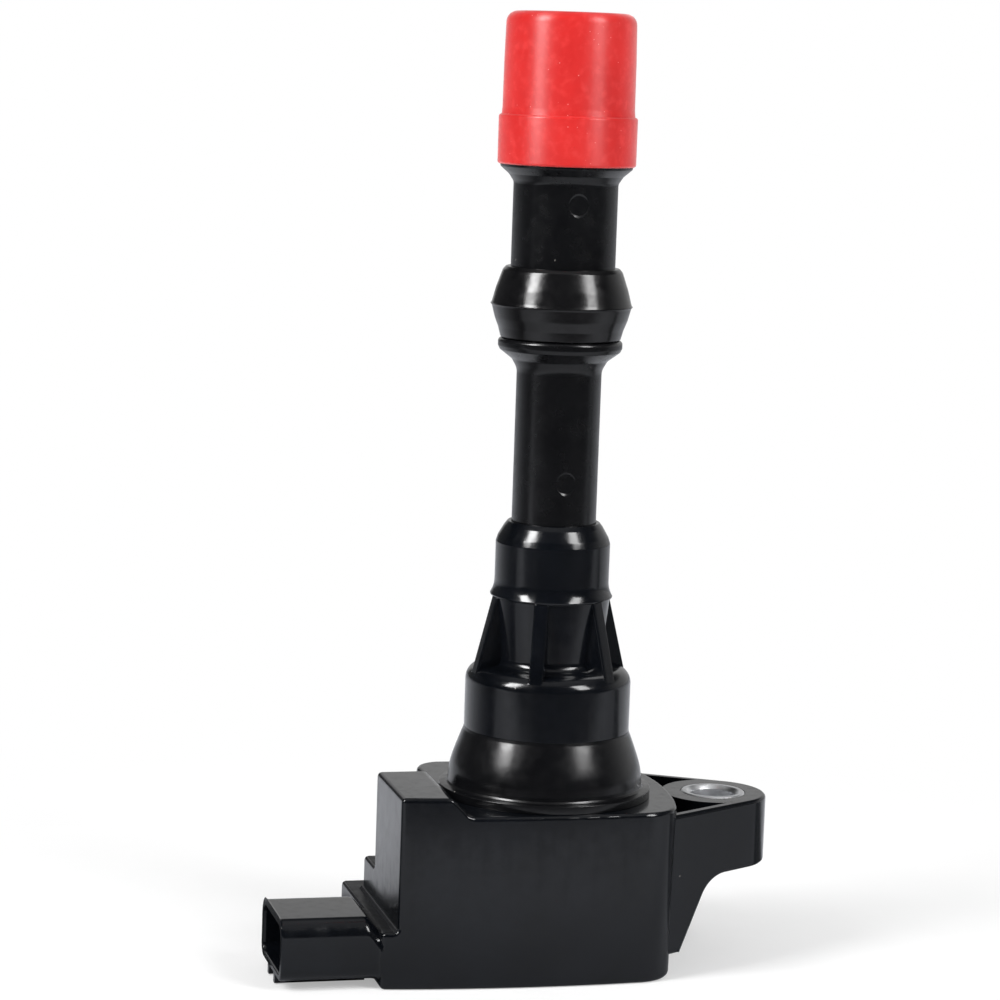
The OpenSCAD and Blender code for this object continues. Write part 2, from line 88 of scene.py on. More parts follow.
def coords(nt, scale=(1, 1, 1)):
    """Object coordinates in millimetres, stretched by scale."""
    tex = add(nt, "ShaderNodeTexCoord")
    mp = add(nt, "ShaderNodeMapping")
    mp.inputs["Scale"].default_value = [1000 * s for s in scale]
    nt.links.new(tex.outputs["Object"], mp.inputs["Vector"])
    return mp.outputs["Vector"]


def noise(nt, vec, scale, detail=3.0, rough=0.5):
    """Noise with scale cells per unit of vec."""
    n = add(nt, "ShaderNodeTexNoise")
    n.inputs["Scale"].default_value = scale
    n.inputs["Detail"].default_value = detail
    n.inputs["Roughness"].default_value = rough
    nt.links.new(vec, n.inputs["Vector"])
    return n.outputs["Fac"]


def span(nt, value, a, b, lo=0.0, hi=1.0):
    """value from a..b mapped smoothly to lo..hi."""
    r = add(nt, "ShaderNodeMapRange", interpolation_type="SMOOTHSTEP")
    for k, v in zip(("From Min", "From Max", "To Min", "To Max"), (a, b, lo, hi)):
        r.inputs[k].default_value = v
    nt.links.new(value, r.inputs["Value"])
    return r.outputs["Result"]


def mix(nt, fac, a, b):
    """Colour a blended to colour b; sockets 6, 7 and 2 are the node's colour ones."""
    m = add(nt, "ShaderNodeMix", data_type="RGBA")
    for sock, v in ((m.inputs[6], a), (m.inputs[7], b)):
        if hasattr(v, "links"):
            nt.links.new(v, sock)
        else:
            sock.default_value = (*v, 1)
    nt.links.new(fac, m.inputs[0])
    return m.outputs[2]


def arith(nt, op, a, b=None):
    """A maths node on sockets or numbers."""
    n = add(nt, "ShaderNodeMath", operation=op)
    for sock, v in ((n.inputs[0], a), (n.inputs[1], b)):
        if v is None:
            continue
        if hasattr(v, "links"):
            nt.links.new(v, sock)
        else:
            sock.default_value = v
    return n.outputs[0]


def bump(nt, bsdf, height, distance, below=None):
    """Bump of the given depth in millimetres, on top of the one below."""
    b = add(nt, "ShaderNodeBump")
    b.inputs["Strength"].default_value = 1.0
    b.inputs["Distance"].default_value = distance * MM
    nt.links.new(height, b.inputs["Height"])
    if below is not None:
        nt.links.new(below, b.inputs["Normal"])
    nt.links.new(b.outputs["Normal"], bsdf.inputs["Normal"])
    return b.outputs["Normal"]


def specks(nt, vec, per_mm, share, size):
    """Sparse dots: 1 inside a dot, 0 elsewhere."""
    v = add(nt, "ShaderNodeTexVoronoi", feature="F1")
    v.inputs["Scale"].default_value = per_mm
    nt.links.new(vec, v.inputs["Vector"])
    dot = span(nt, v.outputs["Distance"], size * 0.5, size, 1, 0)
    pick = add(nt, "ShaderNodeSeparateColor")
    nt.links.new(v.outputs["Color"], pick.inputs[0])
    chosen = arith(nt, "LESS_THAN", pick.outputs[0], share)
    return arith(nt, "MULTIPLY", dot, chosen)


def shelf_mask(nt, vec):
    """1 on top of the two low shelves beside the igniter box, which have a coarser skin."""
    sep, way = (add(nt, "ShaderNodeSeparateXYZ") for k in range(2))
    nt.links.new(vec, sep.inputs[0])
    nt.links.new(add(nt, "ShaderNodeTexCoord").outputs["Normal"], way.inputs[0])
    x, z = sep.outputs["X"], sep.outputs["Z"]
    beside = arith(nt, "MULTIPLY", arith(nt, "GREATER_THAN", x, -26.8),
                   arith(nt, "LESS_THAN", x, -15.2))
    low = arith(nt, "MULTIPLY", beside, arith(nt, "LESS_THAN", z, 13.6))
    return arith(nt, "MULTIPLY", low, span(nt, way.outputs["Z"], 0.85, 0.97))


def moulded(name, dark, light, rough, peel=0.004, streaks=0.0, dust=0.012, ior=1.45,
            grain=0.0, shelves=False):
    """Moulded plastic or rubber: faint colour drift, uneven gloss, dust specks, fine skin."""
    m, nt, b = new_material(name)
    vec = coords(nt)
    drift = noise(nt, vec, 0.11, 4)
    fine = noise(nt, vec, 0.6, 2)
    col = mix(nt, span(nt, drift, 0.3, 0.7), dark, light)
    dots = specks(nt, vec, 0.55, dust, 0.09)
    fluff = specks(nt, coords(nt, (1, 1, 0.35)), 1.3, dust, 0.08)
    dots = arith(nt, "MAXIMUM", dots, arith(nt, "MULTIPLY", fluff, 0.6))
    col = mix(nt, dots, col, (0.42, 0.4, 0.36))
    nt.links.new(col, b.inputs["Base Color"])
    r = span(nt, fine, 0.3, 0.7, rough[0], rough[1])
    smear = noise(nt, coords(nt, (1, 1, 0.08)), 0.9, 4)
    r = arith(nt, "ADD", r, arith(nt, "MULTIPLY", span(nt, smear, 0.45, 0.75), streaks))
    if shelves:
        r = arith(nt, "ADD", r, arith(nt, "MULTIPLY", shelf_mask(nt, vec), 0.3))
    r = arith(nt, "MAXIMUM", r, arith(nt, "MULTIPLY", dots, 0.7))
    nt.links.new(r, b.inputs["Roughness"])
    skin = noise(nt, vec, 1.1, 2)
    relief = bump(nt, b, skin, peel)
    if grain:
        relief = bump(nt, b, noise(nt, vec, 9.0, 2), grain, relief)
    bump(nt, b, dots, 0.03, relief)
    b.inputs["IOR"].default_value = ior
    return m


def metal(name, col, rough, lines=(1, 1, 1), depth=0.003):
    """Metal with fine tool lines along one direction and slight staining."""
    m, nt, b = new_material(name)
    vec = coords(nt, lines)
    ln = noise(nt, vec, 3.0, 5, 0.6)
    stain = noise(nt, coords(nt), 0.35, 4)
    c = mix(nt, span(nt, stain, 0.35, 0.7), col, [0.8 * x for x in col])
    nt.links.new(c, b.inputs["Base Color"])
    nt.links.new(span(nt, ln, 0.3, 0.7, rough[0], rough[1]), b.inputs["Roughness"])
    b.inputs["Metallic"].default_value = 1.0
    bump(nt, b, ln, depth)
    return m


def wire(name, col, pitch, rough=0.3):
    """Enamelled wire wound round the Y axis: one ridge per turn, with painted shade in the
    grooves between the turns.
    """
    m, nt, b = new_material(name)
    vec = coords(nt)
    w = add(nt, "ShaderNodeTexWave", wave_type="BANDS", bands_direction="Y",
            wave_profile="SIN")
    w.inputs["Scale"].default_value = 0.314 / pitch
    w.inputs["Distortion"].default_value = 0.25
    w.inputs["Detail"].default_value = 1.0
    nt.links.new(vec, w.inputs["Vector"])
    # painted shade: the grooves between turns are coloured darker than the crests, following the
    # ridge's wave
    dark = [0.45 * x for x in col]
    c = mix(nt, w.outputs["Fac"], dark, col)
    drift = noise(nt, vec, 0.5, 3)
    c = mix(nt, span(nt, drift, 0.4, 0.8, 0, 0.5), c, [0.7 * x for x in col])
    nt.links.new(c, b.inputs["Base Color"])
    b.inputs["Metallic"].default_value = 0.85
    b.inputs["Roughness"].default_value = rough
    b.inputs["Coat Weight"].default_value = 0.6
    bump(nt, b, w.outputs["Fac"], pitch * 0.35)
    return m


# ------------------------------------------------------------------ mesh helpers


def soften(points, steps=6):
    """Rounds the corners of a closed outline. Points are (x, y) or (x, y, radius)."""
    out = []
    n = len(points)
    for i, p in enumerate(points):
        r = p[2] if len(p) > 2 else 0.0
        c = Vector(p[:2])
        a, b = Vector(points[i - 1][:2]) - c, Vector(points[(i + 1) % n][:2]) - c
        la, lb = a.length, b.length
        if r <= 0 or la < 1e-6 or lb < 1e-6:
            out.append(c)
            continue
        a, b = a / la, b / lb
        ang = a.angle(b)
        t = min(r / math.tan(ang / 2), 0.48 * la, 0.48 * lb)
        r = t * math.tan(ang / 2)
        mid = (a + b).normalized() * (r / math.sin(ang / 2)) + c
        v0, v1 = c + a * t - mid, c + b * t - mid
        turn = math.atan2(v0.x * v1.y - v0.y * v1.x, v0.dot(v1))
        for k in range(steps + 1):
            s = turn * k / steps
            out.append(mid + Vector((v0.x * math.cos(s) - v0.y * math.sin(s),
                                     v0.x * math.sin(s) + v0.y * math.cos(s))))
    return out


def arc(cx, cy, r, a0, a1, count=8):
    """Points on a circle from angle a0 to a1, in degrees."""
    turn = [math.radians(a0 + (a1 - a0) * k / count) for k in range(count + 1)]
    return [(cx + r * math.cos(a), cy + r * math.sin(a)) for a in turn]


def mesh_object(name, verts, faces):
    """Mesh from points in millimetres, merged where they meet, normals outwards."""
    me = bpy.data.meshes.new(name)
    me.from_pydata([tuple(c * MM for c in v) for v in verts], [], faces)
    me.validate()
    o = bpy.data.objects.new(name, me)
    scene.collection.objects.link(o)
    bm = bmesh.new()
    bm.from_mesh(me)
    bmesh.ops.remove_doubles(bm, verts=bm.verts, dist=1e-7)
    bmesh.ops.recalc_face_normals(bm, faces=bm.faces)
    bm.to_mesh(me)
    bm.free()
    return o


def smooth(o, degrees=32):
    """Smooth shading, with edges above the angle kept sharp."""
    o.data.polygons.foreach_set("use_smooth", [True] * len(o.data.polygons))
    o.data.set_sharp_from_angle(angle=math.radians(degrees))
    return o


def lathe(name, outline, segments=192, steps=6):
    """Turns a closed outline of (r, z[, corner radius]), in millimetres, round the Z axis."""
    prof = soften(outline, steps)
    verts, faces, rows = [], [], []
    for p in prof:
        if p.x < 1e-5:
            rows.append([len(verts)] * segments)
            verts.append((0, 0, p.y))
        else:
            rows.append(list(range(len(verts), len(verts) + segments)))
            for k in range(segments):
                a = 2 * math.pi * k / segments
                verts.append((p.x * math.cos(a), p.x * math.sin(a), p.y))
    for i in range(len(prof)):
        p, q = rows[i], rows[(i + 1) % len(prof)]
        for k in range(segments):
            k2 = (k + 1) % segments
            f = []
            for v in (p[k], p[k2], q[k2], q[k]):
                if v not in f:
                    f.append(v)
            if len(f) > 2:
                faces.append(f)
    return mesh_object(name, verts, faces)


def prism(name, outline, z0, z1, place=None):
    """Extrudes an outline along Z; place maps (u, v, w) to a point."""
    n = len(outline)
    verts = [(p[0], p[1], z0) for p in outline] + [(p[0], p[1], z1) for p in outline]
    if place:
        verts = [place(*v) for v in verts]
    faces = [list(range(n))[::-1], list(range(n, 2 * n))]
    faces += [[i, (i + 1) % n, n + (i + 1) % n, n + i] for i in range(n)]
    return mesh_object(name, verts, faces)


def settle(o):
    """Applies every modifier to the mesh."""
    dg = bpy.context.evaluated_depsgraph_get()
    me = bpy.data.meshes.new_from_object(o.evaluated_get(dg))
    old = o.data
    o.modifiers.clear()
    o.data = me
    bpy.data.meshes.remove(old)
    return o


def combine(o, tools, operation):
    """Unites the tools with o or cuts them from it, and removes them."""
    for t in tools:
        md = o.modifiers.new("bool", "BOOLEAN")
        md.object = t
        md.operation = operation
        md.solver = "MANIFOLD"
    settle(o)
    for t in tools:
        bpy.data.objects.remove(t)
    return o


def tidy(o, angle=0.3):
    """Dissolves the flat faces a boolean has split."""
    bm = bmesh.new()
    bm.from_mesh(o.data)
    bmesh.ops.remove_doubles(bm, verts=bm.verts, dist=2e-6)
    bmesh.ops.dissolve_limit(bm, angle_limit=math.radians(angle), verts=bm.verts,
                             edges=bm.edges)
    bm.to_mesh(o.data)
    bm.free()
    return o


def bevel(o, width, angle=30):
    """Rounds the edges above the angle, by a width in millimetres."""
    md = o.modifiers.new("bevel", "BEVEL")
    md.width = width * MM
    md.segments = 3
    md.limit_method = "ANGLE"
    md.angle_limit = math.radians(angle)
    md.use_clamp_overlap = False
    md.miter_outer = "MITER_ARC"
    return settle(o)


def weighted(o):
    md = o.modifiers.new("normals", "WEIGHTED_NORMAL")
    md.keep_sharp = True
    return o


def dress(o, material, body, slot, *replaced):
    """Gives a piece its material and body, and hides the CAD nodes it stands for; slot is not
    used.
    """
    o.data.materials.clear()
    o.data.materials.append(material)
    if replaced:
        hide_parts(*replaced)
    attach(o, body)
    return o


def hi(node):
    """Upper corner of a CAD node's box, in millimetres."""
    return [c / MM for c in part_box(node)[1]]


def lo(node):
    """Lower corner of a CAD node's box, in millimetres."""
    return [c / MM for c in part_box(node)[0]]


# ------------------------------------------------------------------ materials

CASE = moulded("case_plastic", (0.0022, 0.0028, 0.004), (0.0036, 0.0044, 0.0062),
               (0.12, 0.19), peel=0.0018, streaks=0.06, ior=1.42, shelves=True)
SEAL = moulded("seal_rubber", (0.0025, 0.0026, 0.0032), (0.004, 0.0042, 0.005), (0.2, 0.27),
               peel=0.004, ior=1.42)
RING = moulded("ring_rubber", (0.003, 0.003, 0.0035), (0.0055, 0.0055, 0.006), (0.15, 0.25),
               peel=0.004, ior=1.42, dust=0.02)
TUBE = moulded("tube_plastic", (0.003, 0.0031, 0.0038), (0.0045, 0.0048, 0.0056), (0.2, 0.28),
               peel=0.002, ior=1.42)
RESIN = moulded("potting_resin", (0.02, 0.014, 0.01), (0.035, 0.025, 0.018), (0.1, 0.3),
                peel=0.02, ior=1.5, dust=0.03)
BOBBIN = moulded("bobbin_plastic", (0.62, 0.56, 0.42), (0.7, 0.66, 0.53), (0.35, 0.5),
                 dust=0.0)
PACKAGE = moulded("igniter_package", (0.012, 0.012, 0.013), (0.02, 0.02, 0.021),
                  (0.4, 0.55), grain=0.01)
BUFFER = moulded("buffer_rubber", (0.05, 0.035, 0.028), (0.075, 0.055, 0.045), (0.55, 0.7))
CERAMIC = moulded("resistor_ceramic", (0.72, 0.69, 0.6), (0.8, 0.78, 0.7), (0.15, 0.25),
                  dust=0.0)
BUSH = metal("bush_metal", (0.9, 0.91, 0.93), (0.3, 0.42), (0.3, 0.3, 6), 0.002)
STEEL = metal("laminated_steel", (0.42, 0.43, 0.45), (0.3, 0.5), (0.1, 0.1, 6), 0.02)
MAGNET = metal("magnet", (0.3, 0.3, 0.32), (0.35, 0.5))
SPREADER = metal("spreader_metal", (0.72, 0.72, 0.74), (0.25, 0.4), (0.2, 4, 0.2))
LEAD = metal("lead_metal", (0.78, 0.76, 0.7), (0.2, 0.35))
STRAP = metal("strap_metal", (0.82, 0.58, 0.3), (0.25, 0.4), (0.3, 0.3, 3))
PIN = metal("pin_metal", (0.82, 0.8, 0.74), (0.18, 0.3), (0.2, 3, 3))
BRASS = metal("terminal_brass", (0.84, 0.66, 0.32), (0.2, 0.35), (0.3, 0.3, 5))
SPRING = metal("spring_steel", (0.64, 0.65, 0.67), (0.2, 0.35))
CONTACT = metal("contact_steel", (0.72, 0.72, 0.74), (0.15, 0.3), (0.3, 0.3, 5))
COPPER = wire("copper_wire", (0.75, 0.33, 0.14), 0.75)
FINE = wire("fine_copper_wire", (0.55, 0.22, 0.1), 0.25, 0.4)


def silicone():
    """Soft red silicone: a satin skin with a pale bloom at its edges, and clinging dust."""
    m, nt, b = new_material("boot_silicone")
    vec = coords(nt)
    drift = noise(nt, vec, 0.09, 4)
    mottle = noise(nt, vec, 0.8, 4)
    c = mix(nt, span(nt, drift, 0.3, 0.7), (0.54, 0.009, 0.008), (0.61, 0.014, 0.012))
    c = mix(nt, span(nt, mottle, 0.45, 0.75, 0, 0.5), c, (0.70, 0.045, 0.042))
    dots = specks(nt, vec, 1.5, 0.22, 0.12)
    dark = specks(nt, coords(nt, (1.1, 0.9, 1)), 1.1, 0.05, 0.1)
    c = mix(nt, arith(nt, "MULTIPLY", dots, 0.7), c, (0.9, 0.42, 0.4))
    c = mix(nt, arith(nt, "MULTIPLY", dark, 0.6), c, (0.35, 0.01, 0.012))
    nt.links.new(c, b.inputs["Base Color"])
    r = span(nt, noise(nt, vec, 2.5, 3), 0.3, 0.7, 0.36, 0.46)
    nt.links.new(r, b.inputs["Roughness"])
    relief = bump(nt, b, noise(nt, vec, 5.0, 3), 0.003)
    bump(nt, b, dots, 0.02, relief)
    # fine turning marks of the mould, round the axis, draw the highlights out along it
    around = add(nt, "ShaderNodeTangent", direction_type="RADIAL", axis="Z")
    nt.links.new(around.outputs[0], b.inputs["Tangent"])
    b.inputs["Anisotropic"].default_value = 0.8
    b.inputs["Anisotropic Rotation"].default_value = 0.25
    b.inputs["IOR"].default_value = 1.5
    b.inputs["Specular IOR Level"].default_value = 0.5
    b.inputs["Subsurface Weight"].default_value = 0.12
    b.inputs["Subsurface Radius"].default_value = (1.0, 0.12, 0.1)
    b.inputs["Subsurface Scale"].default_value = 0.0012
    b.inputs["Sheen Weight"].default_value = 0.75
    b.inputs["Sheen Roughness"].default_value = 0.35
    b.inputs["Sheen Tint"].default_value = (1.0, 0.55, 0.55, 1)
    return m


BOOT = silicone()

# ------------------------------------------------------------------ boot, stalk, seals

top = hi("plug_boot")[2]
foot = lo("plug_boot")[2]
collar_r = hi("plug_boot")[0]
tube_top = hi("stalk_tube")[2]
boot = lathe("boot_body", [
    (3.6, foot, 0.2), (5.1, foot, 0.3), (5.54, foot + 0.6, 0.2), (5.54, tube_top, 0.1),
    (collar_r - 0.02, tube_top, 0.4), (collar_r, 123.1, 0.35), (9.52, 123.3, 0.12),
    (9.44, 124.2, 0.6), (9.40, 131.0, 6), (9.26, top, 1.9), (6.0, top, 0.6),
    (5.2, top - 0.9, 0.3), (5.2, 120.6, 0.3), (3.6, 120.6, 0.2)], 224, 8)
smooth(boot)
dress(boot, BOOT, "boot", "boot_silicone", "plug_boot")


def mark(z, r):
    """Tool for a shallow round gate mark with a sloping rim, facing the front."""
    low = r - 0.18

    def place(u, v, w):
        wide = 1 + 1.2 * (w - low)
        return u * wide, -w, z + v * wide

    return prism("mark", arc(0, 0, 1.4, 0, 352.5, 47), low, r + 0.3, place)


tube = lathe("tube_body", [
    (4.3, 54.0), (5.72, 54.0, 0.1), (6.12, 54.4, 0.2), (6.12, 87.0, 2.2), (6.9, 88.4, 1.0),
    (8.7, 89.75, 0.45), (8.95, 90.3, 0.35), (8.95, 91.4, 0.55), (7.5, 91.4, 0.05),
    (7.5, 113.75, 1.0), (8.2, 114.8, 0.8), (9.42, 115.85, 0.15), (9.5, tube_top, 0.05),
    (5.6, tube_top), (5.6, 89.0), (4.3, 87.6)], 224, 7)
combine(tube, [mark(110.8, 7.5), mark(71.1, 6.12)], "DIFFERENCE")
smooth(tube, 28)
weighted(tube)
dress(tube, TUBE, "coil", "tube_plastic", "stalk_tube")

ring_r = hi("seal_ring")[0]
ring = lathe("ring_body", [
    (7.52, 91.42), (8.4, 91.42, 0.1), (8.66, 91.62, 0.2), (9.0, 92.9, 2), (9.55, 94.3, 4),
    (ring_r - 0.2, 96.0, 0.5), (ring_r - 0.1, 96.2, 0.05), (ring_r, 96.24, 0.02),
    (ring_r, 96.34, 0.02), (ring_r - 0.1, 96.38, 0.05), (ring_r - 0.22, 96.75, 0.6),
    (9.5, 98.6, 6), (8.6, 101.2, 0.6), (8.15, 101.7, 0.3), (7.52, 101.7)], 224, 7)
smooth(ring)
dress(ring, RING, "coil", "ring_rubber", "seal_ring")

lip_r = hi("base_seal")[0]
seal = lathe("skirt_body", [
    (10.62, 25.0), (lip_r, 25.0, 0.08), (lip_r, 26.2, 0.1), (14.42, 26.33, 0.1),
    (14.24, 26.6, 0.15), (14.16, 27.1, 0.3), (14.06, 28.4, 8), (13.80, 29.6, 12),
    (13.42, 30.8, 28), (12.95, 32.1, 70), (12.50, 33.3, 40), (12.14, 34.2, 1.0),
    (12.04, 34.6), (10.62, 34.6)], 224, 6)
smooth(seal)
dress(seal, SEAL, "coil", "seal_rubber", "base_seal")

bush_z = hi("mounting_bush")[2]
bush_low = lo("mounting_bush")[2]
ear_x = (hi("mounting_bush")[0] + lo("mounting_bush")[0]) / 2
ear_y = (hi("mounting_bush")[1] + lo("mounting_bush")[1]) / 2
bush = lathe("bush_body", [
    (3.4, bush_low + 0.6, 0.1), (3.9, bush_low, 0.1), (4.6, bush_low, 0.1),
    (4.83, bush_low + 0.25), (4.83, bush_z - 0.25), (4.6, bush_z, 0.12),
    (3.95, bush_z, 0.08), (3.4, bush_z - 0.55, 0.1)], 128, 4)
bush.data.transform(Matrix.Translation((ear_x * MM, ear_y * MM, 0)))
smooth(bush)
dress(bush, BUSH, "coil", "bush_metal", "mounting_bush")

# ------------------------------------------------------------------ moulded case

case_lo, case_hi = lo("coil_case"), hi("coil_case")
FRONT, BACK, RIGHT, LEFT = case_lo[1], case_hi[1], 18.85, -15.3
BLOCK_H, BOX_H, FOOT_H, STEP_H = 25.0, 27.7, 8.3, 13.3
BOX_X, BOX_BACK, BOX_TOP = -24.4, 3.2, -17.3
FOOT_X, FOOT_BACK, STEP_BACK = -26.7, 15.7, 10.8
LONG, SIDE, CORNER, BACK_LEFT = 190.0, 52.0, 6.0, 4.6
MID_Y = (FRONT + BACK) / 2


def bow(x, inset=0.0, back=False):
    """Y of the bowed front or back face at x."""
    dy = math.sqrt((LONG - inset) ** 2 - (x + 1) ** 2)
    return BACK - LONG + dy if back else FRONT + LONG - dy


def corner(s, inset):
    """Arc between the long bow and the side bow; s is -1 in front and 1 at the back."""
    count = 14
    ay = BACK - LONG if s > 0 else FRONT + LONG
    a, b = Vector((-1, ay)), Vector((RIGHT - SIDE, MID_Y))
    ra, rb = LONG - CORNER, SIDE - CORNER
    d = (b - a).length
    u = (b - a) / d
    t = (ra * ra - rb * rb + d * d) / (2 * d)
    w = math.sqrt(ra * ra - t * t)
    p = max([a + t * u + w * Vector((-u.y, u.x)), a + t * u - w * Vector((-u.y, u.x))],
            key=lambda q: q.x)
    a0 = math.atan2((p - a).y, (p - a).x)
    a1 = math.atan2((p - b).y, (p - b).x)
    r = CORNER - inset
    return [(p.x + r * math.cos(a0 + (a1 - a0) * k / count),
             p.y + r * math.sin(a0 + (a1 - a0) * k / count)) for k in range(count + 1)]


def side_bow(y0, y1, inset):
    """Points on the bowed right side, between y0 and y1."""
    count = 24
    return [(RIGHT - SIDE + math.sqrt((SIDE - inset) ** 2 - (y - MID_Y) ** 2), y)
            for y in [y0 + (y1 - y0) * k / count for k in range(1, count)]]


def block_outline(inset=0.0):
    """Plan of the main section, front left corner first, going round to the right."""
    f, b = corner(-1, inset), corner(1, inset)
    r = BACK_LEFT - inset
    xs = [LEFT + inset + k for k in range(40) if LEFT + inset + k < f[0][0] - 0.5]
    pts = [(x, bow(x, inset)) for x in xs] + f + side_bow(f[-1][1], b[-1][1], inset) + b[::-1]
    xb = [b[0][0] - k for k in range(1, 40) if b[0][0] - k > LEFT + BACK_LEFT + 0.5]
    pts += [(x, bow(x, inset, True)) for x in xb]
    cy = BACK - inset - r
    pts += [(LEFT + inset + r - r * math.sin(t), cy + r * math.cos(t))
            for t in [math.radians(12 + 78 * k / 12) for k in range(13)]]
    return pts


def box_outline(x0, steps, y1, inset=0.0):
    """Plan of a box left of the main section; the boxes' fronts share their points."""
    xs = [x0] + [BOX_X] * (x0 < BOX_X - 0.6)
    xs += [LEFT + k for k in range(-8, steps + 1) if LEFT + k > x0 + 0.6]
    return [(x, bow(x, inset)) for x in xs] + [(xs[-1], y1), (x0, y1)]


def build_block():
    """Main section, igniter box with its sloping back edge, step and ledge."""
    o = prism("case_body", block_outline(), 0, BLOCK_H)
    box = prism("box", box_outline(BOX_X, 2, BOX_BACK), 0, BOX_H)
    bm = bmesh.new()
    bm.from_mesh(box.data)
    cut = bmesh.ops.bisect_plane(
        bm, geom=bm.verts[:] + bm.edges[:] + bm.faces[:], plane_co=(BOX_TOP * MM, 0, BOX_H * MM),
        plane_no=(1, 0, 1), clear_outer=True)
    bmesh.ops.holes_fill(bm, edges=[e for e in cut["geom_cut"]
                                    if isinstance(e, bmesh.types.BMEdge)])
    bmesh.ops.recalc_face_normals(bm, faces=bm.faces)
    bm.to_mesh(box.data)
    bm.free()
    step = prism("step", [(BOX_X, 0), (LEFT + 3, 0), (LEFT + 3, STEP_BACK),
                          (BOX_X, STEP_BACK)], 0, STEP_H)
    ledge = prism("ledge", box_outline(FOOT_X, 3, FOOT_BACK), 0, FOOT_H)
    combine(o, [box, step, ledge], "UNION")
    tidy(o, 0.08)
    bevel(o, 0.65)
    # the mould's draft narrows the right side towards the base
    draft, start = 0.4, 8.0
    for v in o.data.vertices:
        height, reach = v.co.z / MM / BLOCK_H, (v.co.x / MM - start) / (RIGHT - start)
        v.co.x -= draft * MM * max(0.0, 1 - height) * max(0.0, reach)
    return o


def ear_outline(r):
    """Plan of the ear: a round tip whose sides spread by 30 degrees each, into the block."""
    root, spread = 12.0, math.radians(30)
    run = ear_x + r * math.sin(spread) - root
    half = r * math.cos(spread) + run * math.tan(spread)
    return arc(ear_x, ear_y, r, -60, 60, 40) + [(root, ear_y + half), (root, ear_y - half)]


def build_ear():
    """Bolt ear: a plate hollowed from below, with a pocket round the boss of the bush."""
    r, wall, z0, z1, under = 7.9, 1.4, 3.1, 23.7, 13.6
    o = prism("ear", ear_outline(r), z0, z1)
    web, angle, fillet = 18.3, math.radians(64), 4.6
    corner_x = web + (under - z0) / math.tan(angle)
    side = [(web, z0 - 4), (web, z0, 0.35), (corner_x, under, fillet), (60, under),
            (60, z0 - 4)]
    hollow = prism("hollow", soften(side, 14), -40, 40, lambda u, v, w: (u, w, v))
    combine(o, [hollow], "DIFFERENCE")
    tidy(o)
    bevel(o, 0.55, 35)
    pocket = prism("pocket", ear_outline(r - wall), under + 2.2, z1 + 1)
    boss = prism("boss", arc(ear_x, ear_y, r - 0.3, 0, 356, 89), 0, 40)
    combine(pocket, [boss], "DIFFERENCE")
    combine(o, [pocket], "DIFFERENCE")
    return o


def socket_section(y0, y1, z0, z1, rf, rt, rb, grow=0.0):
    """Section of the shroud; rf, rt and rb round its floor, top front and top back."""
    y0, y1, z0, z1 = y0 - grow, y1 + grow, z0 - grow, z1 + grow
    return soften([(y0, z0, rf + grow), (y1, z0, rf + grow), (y1, z1, rb + grow),
                   (y0, z1, rt + grow)], 8)


def build_shroud():
    """Connector shroud: sections from the root out to the mouth and back in to its floor."""
    cy, w, h, z0, wall, mouth, deep = -5.85, 16.1, 8.9, 1.25, 1.1, case_lo[0], -28.6
    y0, y1, z1 = cy - w / 2, cy + w / 2, z0 + h

    def outer(g, drop=0):
        return socket_section(y0, y1, z0, z1 - g - drop, 2.0, 2.5, 3.4, g)

    def inner(g):
        return socket_section(y0 + wall, y1 - wall, z0 + wall, z1 - wall, 1.1, 1.5, 2.4, g)

    loops = []
    # the root: small fillets at the sides, and a top that slopes down to the ledge
    for x, g, drop in ((-22.0, 0.5, 1.95), (-26.8, 0.5, 1.9), (-26.95, 0.28, 1.75),
                       (-27.2, 0.12, 1.45), (-27.6, 0.02, 1.0), (-28.2, 0, 0.3),
                       (-28.5, 0, 0.06), (-28.9, 0, 0), (mouth + 0.5, 0, 0)):
        loops.append((x, outer(g, drop)))
    for x, g in ((mouth + 0.28, -0.03), (mouth + 0.1, -0.12), (mouth, -0.3)):
        loops.append((x, outer(g, g)))
    for x, g in ((mouth, 0.28), (mouth + 0.1, 0.12), (mouth + 0.3, 0.02), (mouth + 0.6, 0.0),
                 (deep - 0.3, 0.0), (deep - 0.08, -0.08), (deep, -0.3)):
        loops.append((x, inner(g)))
    n = len(loops[0][1])
    verts, faces = [], []
    for x, sec in loops:
        verts += [(x, p[0], max(p[1], 0.0)) for p in sec]
    for i in range(len(loops) - 1):
        for k in range(n):
            k2 = (k + 1) % n
            faces.append([i * n + k, i * n + k2, (i + 1) * n + k2, (i + 1) * n + k])
    faces += [list(range(n)), list(range((len(loops) - 1) * n, len(loops) * n))]
    o = mesh_object("shroud", verts, faces)
    tools = []
    for y in (cy - 3.4, cy + 1.3):
        rail = soften([(y, 0.1, 0.2), (y + 1.1, 0.1, 0.2), (y + 1.1, 1.9), (y, 1.9)], 4)
        tools.append(prism("rail", rail, mouth + 0.03, mouth + 13,
                           lambda u, v, w: (w, u, v)))
    wedge = [(mouth + 2.2, 1.6), (mouth + 2.2, 1.25), (mouth + 4.8, 0.35, 0.15),
             (mouth + 5.4, 0.35, 0.1), (mouth + 5.4, 1.6)]
    tools.append(prism("wedge", soften(wedge, 4), cy - 1.8, cy + 0.8,
                       lambda u, v, w: (u, w, v)))
    combine(o, tools, "UNION")
    return o


